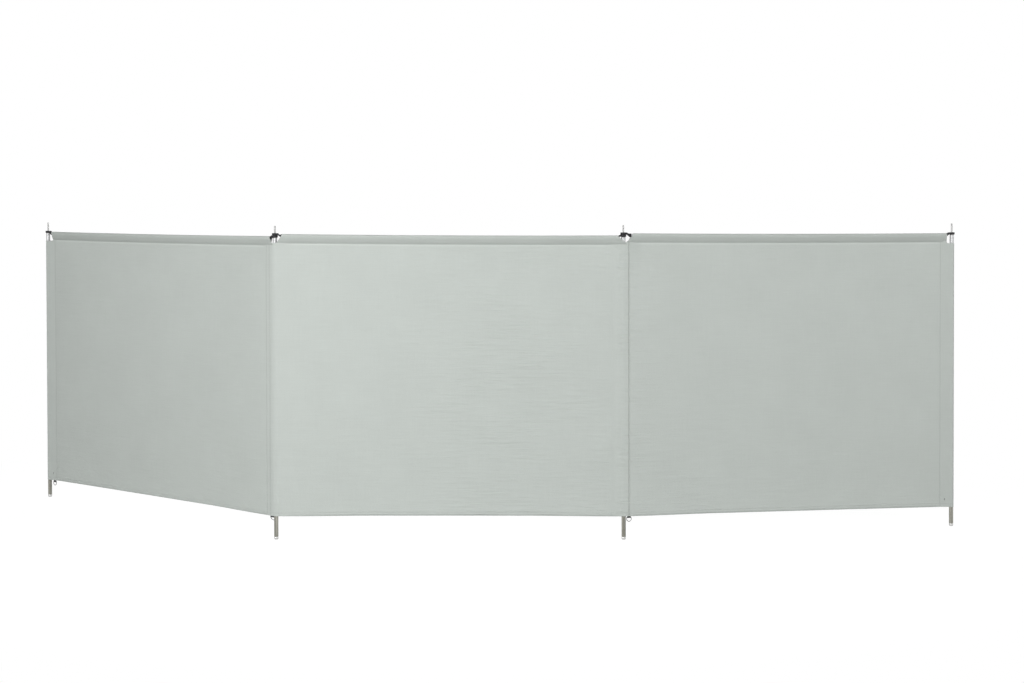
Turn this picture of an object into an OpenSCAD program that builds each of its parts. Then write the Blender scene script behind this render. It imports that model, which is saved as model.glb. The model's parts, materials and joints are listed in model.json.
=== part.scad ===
// Three-bay windbreak: cloth on four poles, with a bar in a sleeve along the top of each bay.
// Millimetres, +Z up. The origin is under the left inner pole, on the face it stands on.
// +X runs along the middle bay to the right inner pole and +Y points to the lee side.

/* [Layout] */
// Distance between neighbouring pole axes
bay_w = 1550; // [900:10:2000]
// How far the left bay is turned back from straight, degrees
left_angle = 32; // [0:1:60]
// How far the right bay is turned back from straight, degrees
right_angle = 9; // [0:1:60]

/* [Poles] */
// Height from the foot to the tip of the pin
pole_h = 1400; // [1100:10:1800]
// Outer diameter of the pole tube
tube_d = 19; // [16:0.5:25]
// Wall of the pole tube
tube_wall = 1; // [0.8:0.1:1.5]
// Diameter of the free pin
pin_d = 7; // [5:0.5:7.5]
// Diameter of the pin where the eyes sit
seat_d = 8; // [8:0.5:10]
// Length of the free pin above two eyes
pin_free = 32; // [20:1:60]
// Chamfer on the tip of the pin
pin_chamfer = 1.2; // [0.5:0.1:2]
// Thickness of the shoulder plate under the eyes
shoulder_t = 3; // [2:0.5:6]
// How far pin and foot plug into the tube
plug_l = 30; // [15:1:60]
// Height of the foot below the tube
foot_h = 14; // [8:1:40]
// Rounding of the foot
foot_round = 3; // [1:0.5:5]

/* [Bars and eyes] */
// Outer diameter of the top bar
bar_d = 16; // [12:0.5:19]
// Wall of the top bar
bar_wall = 1; // [0.8:0.1:1.5]
// Diameter of the eye
eye_d = 30; // [24:1:40]
// Thickness of the eye
eye_t = 9.7; // [6:0.1:14]
// How far the bar axis lies below the middle of its eye
bar_drop = 8; // [4:0.5:12]
// Width of the arm between eye and bar
arm_w = 15; // [8:1:18]
// How far the arm runs level past the edge of the eye
arm_out = 4; // [2:0.5:15]
// Length of the crank from the arm to the collar
crank_l = 7; // [5:1:25]
// Length of the collar that the bar butts on
collar_l = 9; // [4:1:20]

/* [Cloth] */
// Thickness of the cloth
cloth_t = 1; // [0.6:0.1:1.5]
// Room between a tube and the sleeve round it
sleeve_slack = 0.5; // [0.3:0.1:3]
// Height of the top sleeve from its crest to its seam
top_sleeve_h = 39; // [30:1:70]
// Height of the hem above the ground at the inner poles
hem_z = 106; // [40:1:300]
// Height of the hem above the ground at the end poles
end_hem_z = 90; // [40:1:300]
// Distance from an end pole's axis to the stitching of its sleeve
end_stitch = 57; // [30:1:100]
// Width of the stitched margin of a sleeve
stitch_margin = 8; // [4:1:10]
// Setback of the top sleeve from the collar at an end pole
sleeve_setback = 2; // [2:0.5:20]
// Clearance round a pole sleeve at an inner pole
edge_gap = 0.5; // [0.3:0.1:3]

/* [Peg rings] */
// Wire diameter of a ring
wire_d = 3; // [2:0.5:5]
// Inner width of a ring
ring_w = 18; // [12:1:40]
// Length of a ring's straight legs
ring_leg = 8; // [3:1:30]
// Width of the webbing tab
tab_w = 16; // [8:1:17]
// Thickness of one layer of webbing
webbing_t = 1.2; // [0.8:0.1:2]
// Drop from the hem to the straight side of a ring
tab_drop = 7; // [5:0.5:25]
// Distance from an inner pole's axis to its ring
ring_offset = 24; // [24:1:60]
// Distance from the left end pole's axis to its ring
end_ring_offset = 39; // [26:1:80]
// Direction of the right end pole's ring, degrees from the bay's line
end_ring_angle = 63; // [0:1:120]
// Height of webbing sewn flat on the right end pole's sleeve
flap_h = 12; // [6:1:40]

/* [Fits] */
// Radial clearance of an eye on its seat
bore_clear = 0.3; // [0.1:0.05:0.8]
// Gap between stacked eyes
eye_gap = 0.3; // [0.2:0.05:1]
// Radial clearance of a plug in a tube
plug_clear = 0.1; // [0.05:0.05:0.3]
// Gap where webbing is sewn to cloth
sew_gap = 0.3; // [0.1:0.1:0.8]
// Radial clearance of a ring in its webbing
wire_clear = 0.2; // [0.1:0.05:0.5]

/* [Hidden] */
$fn = 48;

steel = [0.62, 0.62, 0.58];
nylon = [0.06, 0.06, 0.07];
cloth = [0.64, 0.68, 0.65];
webbing = [0.12, 0.12, 0.13];

tube_r = tube_d / 2;
bore_r = tube_r - tube_wall;
bar_r = bar_d / 2;
bar_bore_r = bar_r - bar_wall;
eye_r = eye_d / 2;
wire_r = wire_d / 2;

// The eyes stack on the shoulder: level 0 sits on it and level 1 sits on level 0.
eye_pitch = eye_t + eye_gap;
inner_eyes = 2;
end_eyes = 1;
shoulder_z = pole_h - pin_free - inner_eyes * eye_pitch;
function eye_z(level) = shoulder_z + eye_gap + eye_t / 2 + level * eye_pitch;
function axis_z(level) = eye_z(level) - bar_drop;

// Each bay's eye levels: left end, right end. At an inner pole the right-hand bay is on top.
left_levels = [0, 0];
middle_levels = [1, 0];
right_levels = [1, 0];
function fall(levels) = axis_z(levels[0]) - axis_z(levels[1]);
function slope(levels) = atan2(fall(levels), bay_w);
function bar_span(levels) = norm([bay_w, fall(levels)]);

collar_u = eye_r + arm_out + crank_l;
bar_start = collar_u + collar_l;
crank_skin = 1;

// A sleeve is a round pocket that narrows to a stitched tail.
pole_pocket_r = tube_r + sleeve_slack;
pole_sleeve_r = pole_pocket_r + cloth_t;
bar_pocket_r = bar_r + sleeve_slack;
bar_sleeve_r = bar_pocket_r + cloth_t;
bar_tail = top_sleeve_h - bar_sleeve_r;
notch_u = pole_sleeve_r + edge_gap;
window_u = collar_u + sleeve_setback;
cut_margin = 5;

function seam_z(levels, u) =
    axis_z(levels[0]) - fall(levels) * u / bay_w - bar_tail / cos(slope(levels));
lower_seam_z = axis_z(0) - bar_tail / cos(slope(middle_levels));

ring_r = (ring_w + wire_d) / 2;
loop_r = wire_r + wire_clear + webbing_t;

// Places a bay, drawn with its left pole at the origin and its right pole along +X.
module left_bay() { rotate([0, 0, -left_angle]) translate([-bay_w, 0, 0]) children(); }
module right_bay() { translate([bay_w, 0, 0]) rotate([0, 0, right_angle]) children(); }

// Draws at the right-hand pole of a bay, facing left.
module at_right_pole() { translate([bay_w, 0, 0]) mirror([1, 0, 0]) children(); }

module pole_tube() {
    color(steel) translate([0, 0, foot_h]) difference() {
        length = shoulder_z - shoulder_t - foot_h;
        cylinder(r = tube_r, h = length);
        translate([0, 0, -1]) cylinder(r = bore_r, h = length + 2);
    }
}

module pole_pin(eyes) {
    seat_top = shoulder_z + eyes * eye_pitch;
    color(steel) {
        translate([0, 0, shoulder_z - shoulder_t - plug_l])
            cylinder(r = bore_r - plug_clear, h = plug_l);
        translate([0, 0, shoulder_z - shoulder_t]) cylinder(r = tube_r, h = shoulder_t);
        translate([0, 0, shoulder_z]) cylinder(d = seat_d, h = seat_top - shoulder_z);
        translate([0, 0, seat_top]) cylinder(d = pin_d, h = pole_h - pin_chamfer - seat_top);
        translate([0, 0, pole_h - pin_chamfer])
            cylinder(d1 = pin_d, d2 = pin_d - 2 * pin_chamfer, h = pin_chamfer);
    }
}

module pole_foot() {
    color(steel) rotate_extrude() {
        square([tube_r - foot_round, foot_h]);
        translate([0, foot_round]) square([tube_r, foot_h - foot_round]);
        translate([tube_r - foot_round, foot_round]) circle(r = foot_round);
        translate([0, foot_h]) square([bore_r - plug_clear, plug_l]);
    }
}

// Outline of a pocket: a circle with a tapering tail along +X that ends 2 * tip wide.
module pocket_outline(r, tail, tip) {
    hull() {
        circle(r = r, $fn = 32);
        translate([tail - tip, -tip]) square([tip, 2 * tip]);
    }
}

module pocket_section(inner_r, outer_r, tail) {
    difference() {
        pocket_outline(outer_r, tail, cloth_t);
        pocket_outline(inner_r, tail - stitch_margin, cloth_t / 8);
    }
}

module end_sleeve(top_z) {
    color(cloth) translate([0, 0, end_hem_z]) linear_extrude(height = top_z - end_hem_z)
        pocket_section(pole_pocket_r, pole_sleeve_r, end_stitch);
}

module inner_sleeve() {
    color(cloth) translate([0, 0, hem_z]) linear_extrude(height = lower_seam_z - hem_z)
        difference() {
            circle(r = pole_sleeve_r);
            circle(r = pole_pocket_r);
        }
}

// Draws along the bar of a bay: +X from the left pole axis down the bar's fall.
module along_bar(levels) {
    translate([0, 0, axis_z(levels[0])]) rotate([0, slope(levels), 0]) children();
}

module top_bar(levels) {
    color(steel) along_bar(levels) translate([bar_start, 0, 0]) rotate([0, 90, 0]) difference() {
        length = bar_span(levels) - 2 * bar_start;
        cylinder(r = bar_r, h = length);
        translate([0, 0, -1]) cylinder(r = bar_bore_r, h = length + 2);
    }
}

// Cranked end of a bar: an eye on the pin, an arm that drops, a collar and a plug in the bar.
module bar_eye(level, tilt) {
    arm_end = eye_r + arm_out;
    color(nylon) translate([0, 0, eye_z(level)]) difference() {
        union() {
            cylinder(r = eye_r, h = eye_t, center = true);
            translate([0, -arm_w / 2, -eye_t / 2]) cube([arm_end, arm_w, eye_t]);
            hull() {
                translate([arm_end - crank_skin, -arm_w / 2, -eye_t / 2])
                    cube([crank_skin, arm_w, eye_t]);
                at_collar(tilt) cylinder(r = bar_r - crank_skin, h = crank_skin, $fn = 32);
            }
            at_collar(tilt) {
                cylinder(r = bar_r, h = collar_l);
                cylinder(r = bar_bore_r - plug_clear, h = collar_l + plug_l);
            }
        }
        cylinder(r = seat_d / 2 + bore_clear, h = 2 * eye_t, center = true);
    }
}

// Draws along the bar from the start of the collar, below the middle of an eye.
module at_collar(tilt) {
    translate([0, 0, -bar_drop]) rotate([0, tilt, 0]) translate([collar_u, 0, 0])
        rotate([0, 90, 0]) children();
}

// Outline, in the bay's own plane, that the ends of a top sleeve are cut to.
// A notched end slopes at 45 degrees up from an inner pole, and an open end stands upright.
module sleeve_trim(levels, left_notched, right_notched) {
    low = -cut_margin;
    high = top_sleeve_h + cut_margin;
    left_z = seam_z(levels, 0);
    right_z = seam_z(levels, bay_w);
    function reach(notched, rise) = notched ? notch_u + rise : window_u;
    rotate([90, 0, 0]) linear_extrude(height = 4 * bar_sleeve_r, center = true) polygon([
        [reach(left_notched, low), left_z + low],
        [bay_w - reach(right_notched, low), right_z + low],
        [bay_w - reach(right_notched, high), right_z + high],
        [reach(left_notched, high), left_z + high]
    ]);
}

module top_sleeve(levels, left_notched, right_notched) {
    color(cloth) intersection() {
        along_bar(levels) rotate([90, 0, 90]) linear_extrude(height = bar_span(levels))
            rotate(-90) pocket_section(bar_pocket_r, bar_sleeve_r, bar_tail);
        sleeve_trim(levels, left_notched, right_notched);
    }
}

// Flat cloth of a bay, from its left edge to its right edge, between hem and seam.
module panel(levels, left_u, right_u, left_hem, right_hem) {
    color(cloth) rotate([90, 0, 0]) linear_extrude(height = cloth_t, center = true) polygon([
        [left_u, left_hem], [right_u, right_hem],
        [right_u, seam_z(levels, right_u)], [left_u, seam_z(levels, left_u)]
    ]);
}

// Draws at the straight side of a ring that hangs beside a pole, below the hem there.
module at_ring(offset, angle, hem) {
    rotate([0, 0, angle]) translate([offset, 0, hem - sew_gap - tab_drop]) children();
}

// Webbing folded round the straight side of a ring. A flap reaches back to a sleeve.
module peg_tab(offset, angle, hem, flap = false) {
    color(webbing) at_ring(offset, angle, hem) {
        rotate([90, 0, 90]) linear_extrude(height = tab_w, center = true) difference() {
            union() {
                translate([-webbing_t, 0]) square([2 * webbing_t, tab_drop]);
                circle(r = loop_r);
            }
            circle(r = wire_r + wire_clear);
        }
        if (flap) {
            back_u = pole_sleeve_r + sew_gap - offset;
            translate([back_u, -webbing_t, tab_drop])
                cube([tab_w / 2 - back_u, 2 * webbing_t, flap_h]);
        }
    }
}

// Wire ring with one straight side at the top, two legs and a half-round foot.
module peg_ring(offset, angle, hem) {
    color(steel) at_ring(offset, angle, hem) {
        rotate([0, 90, 0]) cylinder(r = wire_r, h = 2 * ring_r, center = true);
        for (side = [-1, 1]) {
            translate([side * ring_r, 0, 0]) sphere(r = wire_r);
            translate([side * ring_r, 0, -ring_leg]) cylinder(r = wire_r, h = ring_leg);
        }
        translate([0, 0, -ring_leg]) rotate([-90, 0, 0]) rotate_extrude(angle = 180)
            translate([ring_r, 0]) circle(r = wire_r);
    }
}

left_bay() pole_tube();  // left_end_pole
left_bay() pole_pin(end_eyes);  // left_end_pin
left_bay() pole_foot();  // left_end_foot
left_bay() end_sleeve(seam_z(left_levels, 0));  // left_end_sleeve
left_bay() peg_tab(end_ring_offset, 0, end_hem_z);  // left_end_tab
left_bay() peg_ring(end_ring_offset, 0, end_hem_z);  // left_end_ring

pole_tube();  // left_inner_pole
pole_pin(inner_eyes);  // left_inner_pin
pole_foot();  // left_inner_foot
inner_sleeve();  // left_inner_sleeve
left_bay() at_right_pole() peg_tab(ring_offset, 0, hem_z);  // left_inner_tab
left_bay() at_right_pole() peg_ring(ring_offset, 0, hem_z);  // left_inner_ring

translate([bay_w, 0, 0]) pole_tube();  // right_inner_pole
translate([bay_w, 0, 0]) pole_pin(inner_eyes);  // right_inner_pin
translate([bay_w, 0, 0]) pole_foot();  // right_inner_foot
translate([bay_w, 0, 0]) inner_sleeve();  // right_inner_sleeve
right_bay() peg_tab(ring_offset, 0, hem_z);  // right_inner_tab
right_bay() peg_ring(ring_offset, 0, hem_z);  // right_inner_ring

right_bay() at_right_pole() pole_tube();  // right_end_pole
right_bay() at_right_pole() pole_pin(end_eyes);  // right_end_pin
right_bay() at_right_pole() pole_foot();  // right_end_foot
right_bay() at_right_pole() end_sleeve(seam_z(right_levels, bay_w));  // right_end_sleeve
right_bay() at_right_pole() peg_tab(ring_offset, 180 - end_ring_angle, end_hem_z, true);  // right_end_tab
right_bay() at_right_pole() peg_ring(ring_offset, 180 - end_ring_angle, end_hem_z);  // right_end_ring

left_bay() top_bar(left_levels);  // left_bar
left_bay() bar_eye(left_levels[0], slope(left_levels));  // left_bar_outer_eye
left_bay() at_right_pole() bar_eye(left_levels[1], -slope(left_levels));  // left_bar_inner_eye
left_bay() panel(left_levels, end_stitch, bay_w - notch_u, end_hem_z, hem_z);  // left_panel
left_bay() top_sleeve(left_levels, false, true);  // left_top_sleeve

top_bar(middle_levels);  // middle_bar
bar_eye(middle_levels[0], slope(middle_levels));  // middle_bar_left_eye
at_right_pole() bar_eye(middle_levels[1], -slope(middle_levels));  // middle_bar_right_eye
panel(middle_levels, notch_u, bay_w - notch_u, hem_z, hem_z);  // middle_panel
top_sleeve(middle_levels, true, true);  // middle_top_sleeve

right_bay() top_bar(right_levels);  // right_bar
right_bay() bar_eye(right_levels[0], slope(right_levels));  // right_bar_inner_eye
right_bay() at_right_pole() bar_eye(right_levels[1], -slope(right_levels));  // right_bar_outer_eye
right_bay() panel(right_levels, notch_u, bay_w - end_stitch, hem_z, end_hem_z);  // right_panel
right_bay() top_sleeve(right_levels, true, false);  // right_top_sleeve
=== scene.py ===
import json
import math
from collections import namedtuple
from itertools import accumulate

import bmesh
import bpy
from bpy.props import FloatProperty, FloatVectorProperty, PointerProperty
from mathutils import Matrix, Vector, noise

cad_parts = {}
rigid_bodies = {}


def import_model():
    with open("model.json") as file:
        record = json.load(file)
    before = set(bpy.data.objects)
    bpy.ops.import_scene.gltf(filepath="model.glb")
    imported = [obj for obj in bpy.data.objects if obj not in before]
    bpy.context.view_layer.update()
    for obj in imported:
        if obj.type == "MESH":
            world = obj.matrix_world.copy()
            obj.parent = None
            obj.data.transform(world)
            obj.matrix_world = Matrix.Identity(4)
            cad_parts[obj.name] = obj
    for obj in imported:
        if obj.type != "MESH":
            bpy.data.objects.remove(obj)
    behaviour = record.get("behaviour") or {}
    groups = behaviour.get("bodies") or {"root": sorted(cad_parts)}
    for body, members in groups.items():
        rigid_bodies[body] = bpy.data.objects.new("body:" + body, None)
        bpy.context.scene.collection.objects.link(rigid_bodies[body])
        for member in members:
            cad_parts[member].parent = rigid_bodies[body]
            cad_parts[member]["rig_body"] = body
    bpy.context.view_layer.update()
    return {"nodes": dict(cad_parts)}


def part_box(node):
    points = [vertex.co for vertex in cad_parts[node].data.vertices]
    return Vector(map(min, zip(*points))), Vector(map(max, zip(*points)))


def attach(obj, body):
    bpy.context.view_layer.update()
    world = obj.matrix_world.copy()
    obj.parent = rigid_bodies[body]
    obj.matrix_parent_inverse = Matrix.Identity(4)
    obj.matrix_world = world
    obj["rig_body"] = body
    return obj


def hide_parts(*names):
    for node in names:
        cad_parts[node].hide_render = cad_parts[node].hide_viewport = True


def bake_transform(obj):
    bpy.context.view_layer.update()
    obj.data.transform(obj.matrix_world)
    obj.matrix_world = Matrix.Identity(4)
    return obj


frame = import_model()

bl_info = {
    "name": "Camp windbreak",
    "version": (1, 0, 0),
    "blender": (4, 5, 0),
    "location": "3D View > Sidebar > Windbreak",
    "description": "Dresses the windbreak's frame with cloth, fittings and a studio",
    "category": "Object",
}

MM = 0.001


def length(name, description, default):
    """A size, in metres, that a user may change."""
    return FloatProperty(name=name, description=description, default=default, unit="LENGTH",
                         precision=4)


def colour(name, description, default):
    """A colour, in linear light, that a user may change."""
    return FloatVectorProperty(name=name, description=description, default=default,
                               subtype="COLOR", size=3, min=0, max=1)


def number(name, description, default, unit="NONE"):
    """A number that a user may change."""
    return FloatProperty(name=name, description=description, default=default, unit=unit)


class ClothSettings(bpy.types.PropertyGroup):
    """Sizes and colours of the cloth."""

    thickness: length("Thickness", "Thickness of one layer of cloth", 0.8 * MM)
    proud: length("Proud", "How far the cloth stands in front of an inner pole's axis", 12 * MM)
    end_proud: length("End proud", "How far it stands in front of an end pole's axis", 3 * MM)
    bend: length("Bend", "Radius to which it bends in front of an inner pole", 50 * MM)
    join: length("Join", "Where the outer cloths meet the middle one, from the pole", 45 * MM)
    seam: length("Seam", "Seam beside an inner pole, from the pole's axis", 22 * MM)
    strip_start: length("Strip start", "Inner seam of the strip behind an inner pole", 30 * MM)
    end_stitch: length("End stitch", "Stitches of an end pole's pocket, from its axis", 57 * MM)
    ditch: length("Ditch", "How deep a strong seam pulls the cloth in", 2.2 * MM)
    ditch_width: length("Ditch width", "Half the width of a seam's ditch", 2.0 * MM)
    hem: length("Hem", "Height of the hem tape behind the cloth", 17.5 * MM)
    roll: length("Roll", "How far the hem's lower edge rolls to the lee", 3 * MM)
    overlap: length("Overlap", "How far the cloth reaches into a top pocket's tail", 5 * MM)
    end_drop: length("End drop", "How far the cloth is cut down round an end pole", 7.5 * MM)
    sag: length("Sag", "How far a top bar and its pocket sag in the middle", 3 * MM)
    billow: length("Billow", "Depth of the broad waves in the cloth", 5 * MM)
    fold: length("Fold", "Depth of the fine level folds", 1.1 * MM)
    pucker: length("Pucker", "Depth of the puckers along the seams", 0.45 * MM)
    weave: length("Weave", "Distance between two threads", 0.9 * MM)
    tint: colour("Tint", "Colour of the cloth", (0.548, 0.586, 0.556))
    thread: colour("Thread", "Colour of the stitches", (0.36, 0.385, 0.365))
    tack: colour("Tack", "Colour of the corner tacks", (0.12, 0.13, 0.125))


class FittingSettings(bpy.types.PropertyGroup):
    """Sizes and colours of the metal and nylon fittings."""

    edge: length("Edge", "Rounding of the nylon eyes' edges", 1.3 * MM)
    wire_bend: length("Wire bend", "Bend of a peg ring's corners, at the wire's middle", 3.5 * MM)
    webbing: length("Webbing", "Thickness of the webbing", 1.2 * MM)
    tube_tint: colour("Tube", "Colour of the galvanised tubes", (0.33, 0.325, 0.285))
    clean_tint: colour("Clean tube", "Colour of the tubes' clean tops", (0.55, 0.555, 0.56))
    dirt_tint: colour("Dirt", "Colour of the stains on the tubes", (0.16, 0.145, 0.11))
    pin_tint: colour("Pin", "Colour of the pins", (0.30, 0.30, 0.295))
    foot_tint: colour("Foot", "Colour of the feet", (0.56, 0.56, 0.55))
    wire_tint: colour("Wire", "Colour of the peg rings' wire", (0.12, 0.12, 0.117))
    nylon_tint: colour("Nylon", "Colour of the eyes", (0.018, 0.018, 0.02))
    webbing_tint: colour("Webbing tint", "Colour of the peg tabs", (0.02, 0.02, 0.022))


class StageSettings(bpy.types.PropertyGroup):
    """Camera, lamps and floor."""

    lens: number("Lens", "Focal length", 45.96, "CAMERA")
    drop: number("Drop", "Downward shift of the frame, in picture widths", 0.1258)
    key_power: number("Key", "Power of the key lamp", 274, "POWER")
    fill_power: number("Fill", "Power of the fill lamp", 128, "POWER")
    lee_power: number("Lee", "Power of the lamp on the lee side", 300, "POWER")
    sky: number("Sky", "Strength of the even light from all sides", 0.11)
    floor_tint: colour("Floor", "Colour of the floor away from the camera's sight", (0.6, 0.6, 0.6))


def smooth(low, high, x):
    """0 up to low, 1 from high, and a smooth step between."""
    t = min(1.0, max(0.0, (x - low) / (high - low)))
    return t * t * (3 - 2 * t)


def mix(a, b, share):
    return a + (b - a) * share


def bump_at(x, centre, width):
    """A smooth bump of height 1."""
    return math.exp(-((x - centre) / width) ** 2)


def drift(x, y, z):
    """Smooth noise about 0."""
    return noise.noise(Vector((x, y, z)))


# Places read from the frame.

def pole_axis(pole):
    low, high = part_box(pole + "_pole")
    return Vector(((low.x + high.x) / 2, (low.y + high.y) / 2, 0))


POLES = {name: pole_axis(name) for name in ("left_end", "left_inner", "right_inner", "right_end")}
BAR_R = (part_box("left_bar")[1].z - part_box("left_bar")[0].z) / 2
TUBE_R = (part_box("left_inner_pole")[1].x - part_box("left_inner_pole")[0].x) / 2
# Drop from a bar's axis to the seam of its pocket.
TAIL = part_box("left_bar")[1].z - BAR_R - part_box("left_top_sleeve")[0].z
HEM_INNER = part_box("left_inner_sleeve")[0].z
HEM_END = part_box("left_end_sleeve")[0].z

# How loosely a pocket sits on its tube.
EASE = 0.4 * MM
# An eye's thickness, its height in the stack, the drop of its crank, and where its collar starts.
EYE_T, EYE_STACK, CRANK, COLLAR_U = 9.7 * MM, 10 * MM, 8 * MM, 26 * MM
# Where a bar starts, inside its collar, and its wall.
BAR_START, BAR_WALL = 35 * MM, 1 * MM


class Bay:
    """A bay's own axes: u along the cloth from its first pole, n to the lee side and z up.

    notches says for each end, in mm, how far from the pole's axis the top pocket's front and back
    layers start, each at the seam and at the crest. seam_pulls says how hard the seam beside the
    inner pole and the strip's seam pull the cloth in, and strip_seam where the latter is, in mm.
    """

    def __init__(self, name, first, last, notches, seam_pulls=(1.0, 0.0), strip_seam=0.0):
        self.name, self.body, self.first = name, name + "_bay", first
        self.ends_inside = "inner" in last
        self.origin, far = POLES[first], POLES[last]
        self.span = (far - self.origin).length
        self.along = (far - self.origin) / self.span
        self.lee = Vector((-self.along.y, self.along.x, 0))
        if self.lee.y < 0:
            self.lee = -self.lee
        low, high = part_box(name + "_bar")
        self.axis_ends = (high.z - BAR_R, low.z + BAR_R)
        self.hems = (HEM_INNER, HEM_INNER if self.ends_inside else HEM_END)
        self.notches = [[[cut * MM for cut in layer] for layer in notch] for notch in notches]
        self.seam_pulls, self.strip_seam = seam_pulls, strip_seam * MM

    def at(self, u, n, z):
        return self.origin + self.along * u + self.lee * n + Vector((0, 0, z))

    def margin(self, u):
        """Distance from the nearer pole."""
        return min(u, self.span - u)

    def axis_z(self, u, sag=0.0):
        """Height of the bar's axis, when the bar sags by that much in the middle."""
        t = u / self.span
        inside = min(1.0, max(0.0, t))
        return mix(*self.axis_ends, t) - 4 * sag * inside * (1 - inside)

    def seam_z(self, u, sag=0.0):
        return self.axis_z(u, sag) - TAIL

    def bar_near(self, spot, cloth):
        """The nearest place on the bar's axis."""
        u = (spot - self.origin).dot(self.along)
        return self.at(u, 0, self.axis_z(u, cloth.sag))

    def pocket_length(self):
        """Mean length of the top pocket between its two slanting ends."""
        cuts = [cut for notch in self.notches for layer in notch for cut in layer]
        return self.span - sum(cuts) / 4

    def hem_z(self, u):
        return mix(*self.hems, min(1.0, max(0.0, u / self.span)))

    def stands(self, u, cloth, near, far, end_near):
        """How far to the lee the cloth lies when it falls back between near and far from a pole."""
        depth = cloth.proud * (1 - smooth(near, far, u))
        if self.ends_inside:
            return -depth - cloth.proud * (1 - smooth(near, far, self.span - u))
        return -depth - cloth.end_proud * (1 - smooth(end_near, far + 0.06, self.span - u))

    def face(self, u, cloth):
        """How far to the lee the cloth lies in the body of the bay."""
        return self.stands(u, cloth, 0.06, 0.45, 0.08)

    def top_face(self, u, cloth):
        """How far to the lee the cloth lies where it is sewn to the top pocket."""
        return self.stands(u, cloth, 0.014, 0.095, 0.07)


LEFT = Bay("left", "left_inner", "left_end",
           (((2, 28), (13, 30)), ((42, 34), (42, 34))), (0.45, 0.4), 43)
MIDDLE = Bay("middle", "left_inner", "right_inner",
             (((10, 33), (13, 33)), ((-14, 23), (13, 24))))
RIGHT = Bay("right", "right_inner", "right_end",
            (((15, 46), (15, 46)), ((27, 27), (27, 27))), (1.0, 0.0), 26.5)
BAYS = (LEFT, MIDDLE, RIGHT)


def inner_end(bay):
    """The way along the middle bay from an outer bay's inner pole, and that pole's u there."""
    return (1, 0.0) if bay is LEFT else (-1, MIDDLE.span)


# Finishes.

class Wire:
    """An output socket of a finish. Arithmetic on it adds Math nodes."""

    def __init__(self, finish, socket):
        self.finish, self.socket = finish, socket

    def math(self, operation, *others):
        return self.finish.math(operation, self, *others)

    def __add__(self, other):
        return self.math("ADD", other)

    __radd__ = __add__

    def __sub__(self, other):
        return self.math("SUBTRACT", other)

    def __rsub__(self, other):
        return self.finish.math("SUBTRACT", other, self)

    def __mul__(self, other):
        return self.math("MULTIPLY", other)

    __rmul__ = __mul__

    def __truediv__(self, other):
        return self.math("DIVIDE", other)

    def __lt__(self, other):
        return self.math("LESS_THAN", other)

    def __abs__(self):
        return self.math("ABSOLUTE")


class Finish:
    """The nodes that give a material, or the world, its look."""

    def __init__(self, owner):
        owner.use_nodes = True
        self.owner, self.tree = owner, owner.node_tree
        self.tree.nodes.clear()

    def node(self, kind, sockets=None, output=0, **settings):
        made = self.tree.nodes.new(kind)
        for key, value in settings.items():
            setattr(made, key, value)
        for key, value in (sockets or {}).items():
            if isinstance(value, Wire):
                self.tree.links.new(value.socket, made.inputs[key])
            else:
                made.inputs[key].default_value = value
        return Wire(self, made.outputs[output])

    def math(self, operation, *values):
        return self.node("ShaderNodeMath", dict(enumerate(values)), operation=operation)

    def attribute(self, name):
        return self.node("ShaderNodeAttribute", output="Fac", attribute_name=name)

    def objects(self):
        return self.node("ShaderNodeTexCoord", output="Object")

    def axis(self, vector, i):
        return self.node("ShaderNodeSeparateXYZ", {0: vector}, i)

    def place(self, x, y):
        return self.node("ShaderNodeCombineXYZ", {"X": x, "Y": y})

    def noise(self, vector, scale=1.0, detail=2.0, roughness=0.5):
        return self.node("ShaderNodeTexNoise", {"Vector": vector, "Scale": scale,
                                                "Detail": detail, "Roughness": roughness})

    def streaks(self, by, detail=2.0, roughness=0.5):
        """Noise in the object's own axes, packed along each axis by that much."""
        packed = self.node("ShaderNodeVectorMath", {0: self.objects(), 1: by}, operation="MULTIPLY")
        return self.noise(packed, 1.0, detail, roughness)

    def step(self, value, low, high):
        return self.node("ShaderNodeMapRange", {"Value": value, "From Min": low, "From Max": high},
                         interpolation_type="SMOOTHSTEP")

    def blend(self, share, a, b):
        return self.node("ShaderNodeMix", {0: share, 6: a, 7: b}, 2, data_type="RGBA")

    def bump(self, height, distance, strength):
        return self.node("ShaderNodeBump", {"Height": height, "Distance": distance,
                                            "Strength": strength})

    def seen(self):
        """1 on the rays by which the camera sees the ground, also in a mirror or through glass."""
        direct, mirrored, through = [self.node("ShaderNodeLightPath", output=f"Is {kind} Ray")
                                     for kind in ("Camera", "Glossy", "Transmission")]
        return direct.math("MAXIMUM", mirrored).math("MAXIMUM", through)

    def mixed(self, share, a, b):
        return self.node("ShaderNodeMixShader", {0: share, 1: a, 2: b})

    def output(self, shader, kind="ShaderNodeOutputMaterial"):
        self.tree.links.new(shader.socket, self.tree.nodes.new(kind).inputs["Surface"])

    def principled(self, **sockets):
        named = {key.replace("_", " "): value for key, value in sockets.items()}
        self.output(self.node("ShaderNodeBsdfPrincipled", named))
        return self.owner


def rgba(tint, by=1.0):
    return (*[min(1.0, c * by) for c in tint], 1.0)


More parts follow.
